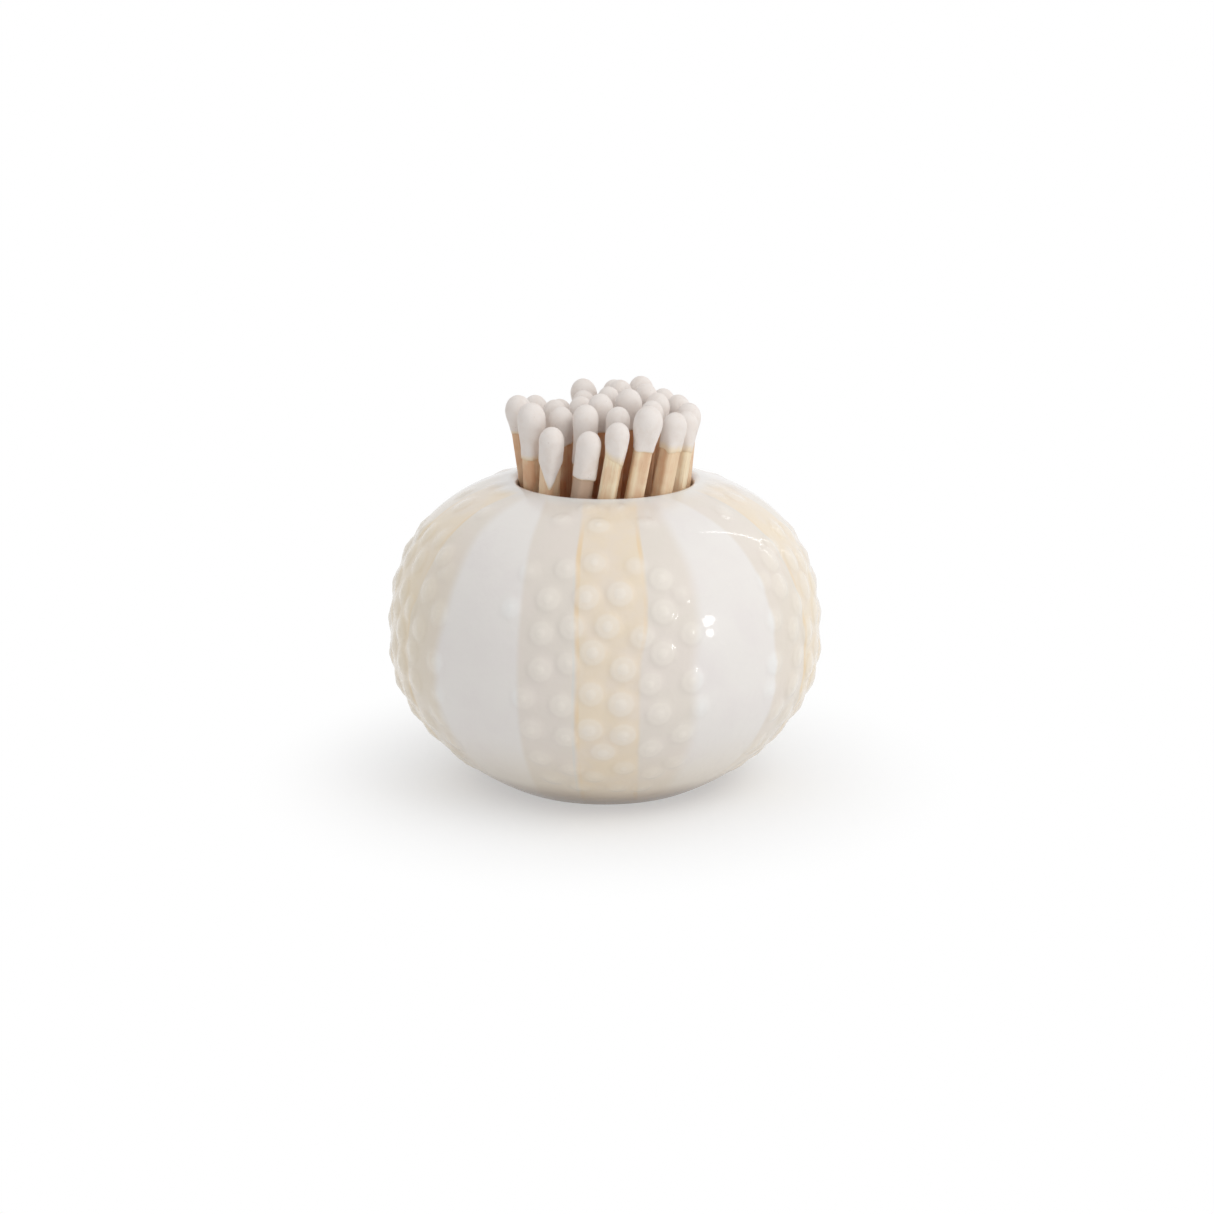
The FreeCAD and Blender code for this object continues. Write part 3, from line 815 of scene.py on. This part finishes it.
class MATCHSTRIKER_OT_sticks(bpy.types.Operator):
    """Models the split wooden sticks over their CAD nodes"""

    bl_idname = "match_striker.sticks"
    bl_label = "Match sticks"

    def execute(self, context):
        matches = context.scene.match_striker_matches
        material = wood_material(matches)
        count = STICK_COLUMNS
        turns = np.linspace(0, 2 * math.pi, count, endpoint=False) + math.pi / count
        for name in MATCHES:
            match = Match(name)
            levels = np.linspace(0, match.stick_top - 0.4, STICK_ROWS)
            turn, level = np.meshgrid(turns, levels)
            turn, level = turn.ravel(), level.ravel()
            half = match.half - matches.stick_trim / MM
            power = STICK_SQUARENESS
            reach = half / (abs(np.cos(turn)) ** power + abs(np.sin(turn)) ** power) ** (1 / power)
            across, over = reach * np.cos(turn), reach * np.sin(turn)
            # Uneven split faces, and a thinner end inside the head
            spots = np.stack([across, over, level * 0.12], axis=1)
            shrink = 1 - 0.012 * (1 + unevenness(spots, 0.9, match.number))
            shrink -= 0.1 * share_of(level - match.stick_top, -2.6, 0.8)
            points = match.place(across * shrink, over * shrink, level)
            own = match.number
            grain = np.stack([across + own * 7.3, over + own * 3.1, level], axis=1)
            numbers = np.arange(len(points)).reshape(-1, count)
            faces = grid_faces(numbers)
            faces += [tuple(numbers[0, ::-1].tolist()), tuple(numbers[-1].tolist())]
            # Each stick's own tone, with painted shade for the sticks deep in the bundle
            warmth_and_shade = 0.22 + 0.22 * match.wander(4.7) + STICK_WARMTH_AND_SHADE.get(own, 0.0)
            stained = np.full(len(points), 1.0 if own == STAINED_MATCH else 0.0)
            stained *= share_of(level - match.edge[1, 1], -5.0, 2.0)
            values = {"grain": grain, "tone": np.full(len(points), warmth_and_shade), "stained": stained}
            piece, node = f"{name}_wood", f"{name}_stick"
            new_piece(piece, node, material, points, faces, values)
        return {"FINISHED"}


def dip_edge(match, cosine, sine, soft):
    """How far below the top the dip ends, for each column of a head."""
    corners = {place: match.top - value for place, value in match.edge.items()}
    level = sum(corners.values()) / 4
    tilt, lift = EDGE_TILTS.get(match.number, PLAIN_TILT)
    spread_x, spread_y = np.clip(cosine * 1.35, -1, 1), np.clip(sine * 1.35, -1, 1)
    edge = level - lift + tilt * sum(
        (1 + i * spread_x) / 2 * (1 + j * spread_y) / 2 * (depth - level)
        for (i, j), depth in corners.items()
    )
    places = [Vector((c * 1.3, s * 1.3, match.number * 3.3)) for c, s in zip(cosine, sine)]
    ripple = np.array([noise.noise(place) for place in places])
    edge = edge - 0.1 + (0.08 + 0.2 * soft) * ripple
    return np.maximum(edge, match.bulb * BULB_STRETCH + 1.2)


def head_rings(matches, match, cosine, sine, soft, edge):
    """Rings of a head from its top down, each as reach and depth of its columns."""
    equator = match.bulb * BULB_STRETCH
    fullness = FULL_COATS.get(match.number, 0.0)
    taper = np.minimum(matches.taper / MM, edge - equator)
    face_end = match.half + matches.coat / MM + fullness
    corner_end = min(match.bulb, match.half * 1.34 + fullness * 0.3)
    rings = []
    for turn in np.linspace(0, math.pi / 2, DOME_RINGS + 1)[1:]:
        depth = np.full(len(edge), equator * (1 - math.cos(turn)))
        rings.append((np.full(len(edge), match.bulb * math.sin(turn)), depth))
    for fraction in np.linspace(0, 1, COAT_RINGS + 1)[1:]:
        depth = equator + (edge - equator) * fraction
        narrow = smooth(share_of(depth, equator, taper))
        thin = 1 - share_of(edge, depth, soft)
        face = match.bulb + (face_end - match.bulb) * narrow - (0.1 + fullness) * thin**2
        corner = match.bulb + (corner_end - match.bulb) * narrow - 0.05 * thin**2
        # A power of 2 gives a round ring, and a higher one a squarer ring
        power = 1 / (0.5 - np.log2(corner / face))
        reach = face / (abs(cosine) ** power + abs(sine) ** power) ** (1 / power)
        rings.append((reach, depth))
    return rings + [(rings[-1][0] * 0.93, edge + 0.02)]


class MATCHSTRIKER_OT_heads(bpy.types.Operator):
    """Models the dipped match heads over their CAD nodes"""

    bl_idname = "match_striker.heads"
    bl_label = "Match heads"

    def execute(self, context):
        matches = context.scene.match_striker_matches
        material = head_material(matches)
        count = HEAD_COLUMNS
        turns = np.linspace(0, 2 * math.pi, count, endpoint=False)
        cosine, sine = np.cos(turns), np.sin(turns)
        for name in MATCHES:
            match = Match(name)
            soft = SOFT_EDGES.get(match.number, SHARP_EDGE)
            edge = dip_edge(match, cosine, sine, soft)
            rings = head_rings(matches, match, cosine, sine, soft, edge)
            cover = [(edge - depth) / soft for _, depth in rings[:-1]]
            cover = np.concatenate([[9.0], *cover, np.zeros(count)])
            points = [
                np.stack([reach * cosine, reach * sine, match.top - depth], axis=1)
                for reach, depth in rings
            ]
            points = np.concatenate([[[0, 0, match.top]]] + points)
            lumps = unevenness(points, 0.42, match.number)
            lumps = lumps + 0.35 * unevenness(points, 1.3, match.number + 40)
            push = 1 + matches.lumps / MM * lumps / match.bulb
            push[-count:] = 1.0
            grain = points + np.array([match.number * 11.7, match.number * 5.9, 0])
            # The bulb sits a little beside the stick
            shift = 0.09 * share_of(points[:, 2] - match.top, -4.5, 3)
            across = points[:, 0] * push + shift * match.wander(2.3)
            over = points[:, 1] * push + shift * match.wander(3.9)
            placed = match.place(across, over, points[:, 2])
            faces = [(0, 1 + i, 1 + (i + 1) % count) for i in range(count)]
            faces += flip(grid_faces(1 + np.arange(len(points) - 1).reshape(-1, count)))
            values = {"grain": grain, "cover": cover}
            piece, node = f"{name}_tip", f"{name}_head"
            new_piece(piece, node, material, placed, faces, values)
        return {"FINISHED"}


class MATCHSTRIKER_OT_striker_pad(bpy.types.Operator):
    """Gives the striking pad under the foot its gritty surface"""

    bl_idname = "match_striker.striker_pad"
    bl_label = "Striking pad"

    def execute(self, context):
        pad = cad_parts["striker_pad"]
        material = grit_material(context.scene.match_striker_pad)
        if not pad.material_slots:
            pad.data.materials.append(material)
        for slot in pad.material_slots:
            slot.material = material
        return {"FINISHED"}


# The stage
def aim(item, place, target):
    """Puts a lamp or the camera at a place and turns it to a target."""
    item.location = place
    item.rotation_euler = (Vector(target) - Vector(place)).to_track_quat("-Z", "Y").to_euler()


def add_lamp(name, heading, elevation, distance, size, power, tint=WHITE):
    """An oval lamp that looks at the pot."""
    lamp = bpy.data.lights.new(name, "AREA")
    lamp.shape = "ELLIPSE"
    lamp.size, lamp.size_y = size
    lamp.energy = power
    lamp.color = tint
    item = bpy.data.objects.new(name, lamp)
    bpy.context.scene.collection.objects.link(item)
    turn, tilt = math.radians(heading), math.radians(elevation)
    level, rise = distance * math.cos(tilt), distance * math.sin(tilt)
    place = (level * math.sin(turn), -level * math.cos(turn), LIT_HEIGHT + rise)
    aim(item, place, (0, 0, LIT_HEIGHT))
    return item


def seen_directly(nodes):
    """1 for what the camera, a gloss or a glass sees, and 0 for the light that falls on things."""
    sockets = nodes.add("ShaderNodeLightPath").socket.node.outputs
    names = ("Is Camera Ray", "Is Glossy Ray", "Is Transmission Ray")
    camera, gloss, glass = (Channel(nodes, sockets[name]) for name in names)
    return (camera + gloss + glass).math("MINIMUM", 1.0)


class MATCHSTRIKER_OT_stage(bpy.types.Operator):
    """Sets up the floor, the studio light and the camera"""

    bl_idname = "match_striker.stage"
    bl_label = "Stage"

    def execute(self, context):
        stage = context.scene.match_striker_stage
        self.add_floor(context, stage)
        self.light_room(context, stage)
        self.place_camera(context, stage)
        context.scene.view_settings.view_transform = "Standard"
        return {"FINISHED"}

    def add_floor(self, context, stage):
        """A floor that catches the shadow close by and is plain white further away."""
        sides = ((-1, -1), (1, -1), (1, 1), (-1, 1))
        corners = [(x * FLOOR_REACH, y * FLOOR_REACH, 0) for x, y in sides]
        mesh = bpy.data.meshes.new("floor")
        mesh.from_pydata(corners, [], [(0, 1, 2, 3)])
        material, nodes = new_surface("floor")
        place = nodes.position()
        x, y, _ = nodes.split(place)
        away = (x * x + y * y).math("SQRT")
        tone = nodes.noise(place, 0.004, 2.0) * 0.02 + 0.99
        sockets = {
            "Base Color": nodes.blend(tone, FLOOR_SHADE, stage.floor_tone),
            "Roughness": 0.9,
            "Specular IOR Level": 0.1,
        }
        matt = nodes.add("ShaderNodeBsdfPrincipled", inputs=sockets)
        glow = nodes.add("ShaderNodeEmission", inputs={"Color": (*WHITE, 1.0), "Strength": 1.0})
        seen = seen_directly(nodes) * (nodes.ramp(away, 16.0, 52.0) * 0.55 + 0.45)
        surface = nodes.add("ShaderNodeMixShader", inputs={0: seen, 1: matt, 2: glow})
        nodes.add("ShaderNodeOutputMaterial", inputs={"Surface": surface})
        mesh.materials.append(material)
        floor = bpy.data.objects.new("floor", mesh)
        context.scene.collection.objects.link(floor)

    def light_room(self, context, stage):
        """Even light from all round, a large key lamp, and small lamps for glints in the glaze."""
        world = bpy.data.worlds.new("studio")
        world.use_nodes = True
        context.scene.world = world
        nodes = Nodes(world.node_tree)
        strength = seen_directly(nodes) * (1.0 - stage.fill) + stage.fill
        sockets = {"Color": (*WHITE, 1.0), "Strength": strength}
        sky = nodes.add("ShaderNodeBackground", inputs=sockets)
        nodes.add("ShaderNodeOutputWorld", inputs={"Surface": sky})
        key = add_lamp("key", 55, 50, 0.6, (0.5, 0.4), stage.key, (1.0, 0.985, 0.965))
        key.visible_glossy = False
        add_lamp("upper_glint", 57, 13.1, 0.575, (0.066, 0.058), 0.12)
        add_lamp("lower_glint", 55.9, 6.1, 0.575, (0.05, 0.042), 0.08)
        add_lamp("strip", 130, 33, 0.6, (0.012, 0.5), 0.1, (0.95, 0.98, 1.0))

    def place_camera(self, context, stage):
        """The photo's own view."""
        camera = bpy.data.cameras.new("camera")
        camera.sensor_width = SENSOR_WIDTH
        camera.lens = stage.focal_length
        camera.clip_start, camera.clip_end = 0.01, 50.0
        camera.shift_x, camera.shift_y = (pixels / PHOTO_PIXELS for pixels in PHOTO_SHIFT)
        item = bpy.data.objects.new("camera", camera)
        context.scene.collection.objects.link(item)
        target = Vector((0, 0, stage.look_height))
        back = Vector((0, -math.cos(stage.elevation), math.sin(stage.elevation)))
        aim(item, target + back * stage.distance, target)
        context.scene.camera = item


class MATCHSTRIKER_PT_panel(bpy.types.Panel):
    """Lists the pieces of the match striker"""

    bl_idname = "MATCHSTRIKER_PT_panel"
    bl_label = "Match striker"
    bl_space_type = "VIEW_3D"
    bl_region_type = "UI"
    bl_category = "Match striker"

    def draw(self, context):
        for operator in OPERATORS:
            self.layout.operator(operator.bl_idname)
        for owner, group in SETTINGS.items():
            settings = getattr(context.scene, f"match_striker_{owner}")
            box = self.layout.box()
            for name in group.__annotations__:
                box.prop(settings, name)


OPERATORS = (
    MATCHSTRIKER_OT_stage,
    MATCHSTRIKER_OT_pot,
    MATCHSTRIKER_OT_striker_pad,
    MATCHSTRIKER_OT_sticks,
    MATCHSTRIKER_OT_heads,
)
SETTINGS = {
    "pot": PotSettings,
    "matches": MatchSettings,
    "pad": PadSettings,
    "stage": StageSettings,
}
CLASSES = (*SETTINGS.values(), *OPERATORS, MATCHSTRIKER_PT_panel)


def register():
    for item in CLASSES:
        bpy.utils.register_class(item)
    for owner, group in SETTINGS.items():
        setattr(bpy.types.Scene, f"match_striker_{owner}", PointerProperty(type=group))


def unregister():
    for owner in SETTINGS:
        delattr(bpy.types.Scene, f"match_striker_{owner}")
    for item in reversed(CLASSES):
        bpy.utils.unregister_class(item)


def main():
    register()
    bpy.ops.match_striker.stage()
    bpy.ops.match_striker.pot()
    bpy.ops.match_striker.striker_pad()
    bpy.ops.match_striker.sticks()
    bpy.ops.match_striker.heads()


if __name__ == "__main__":
    main()
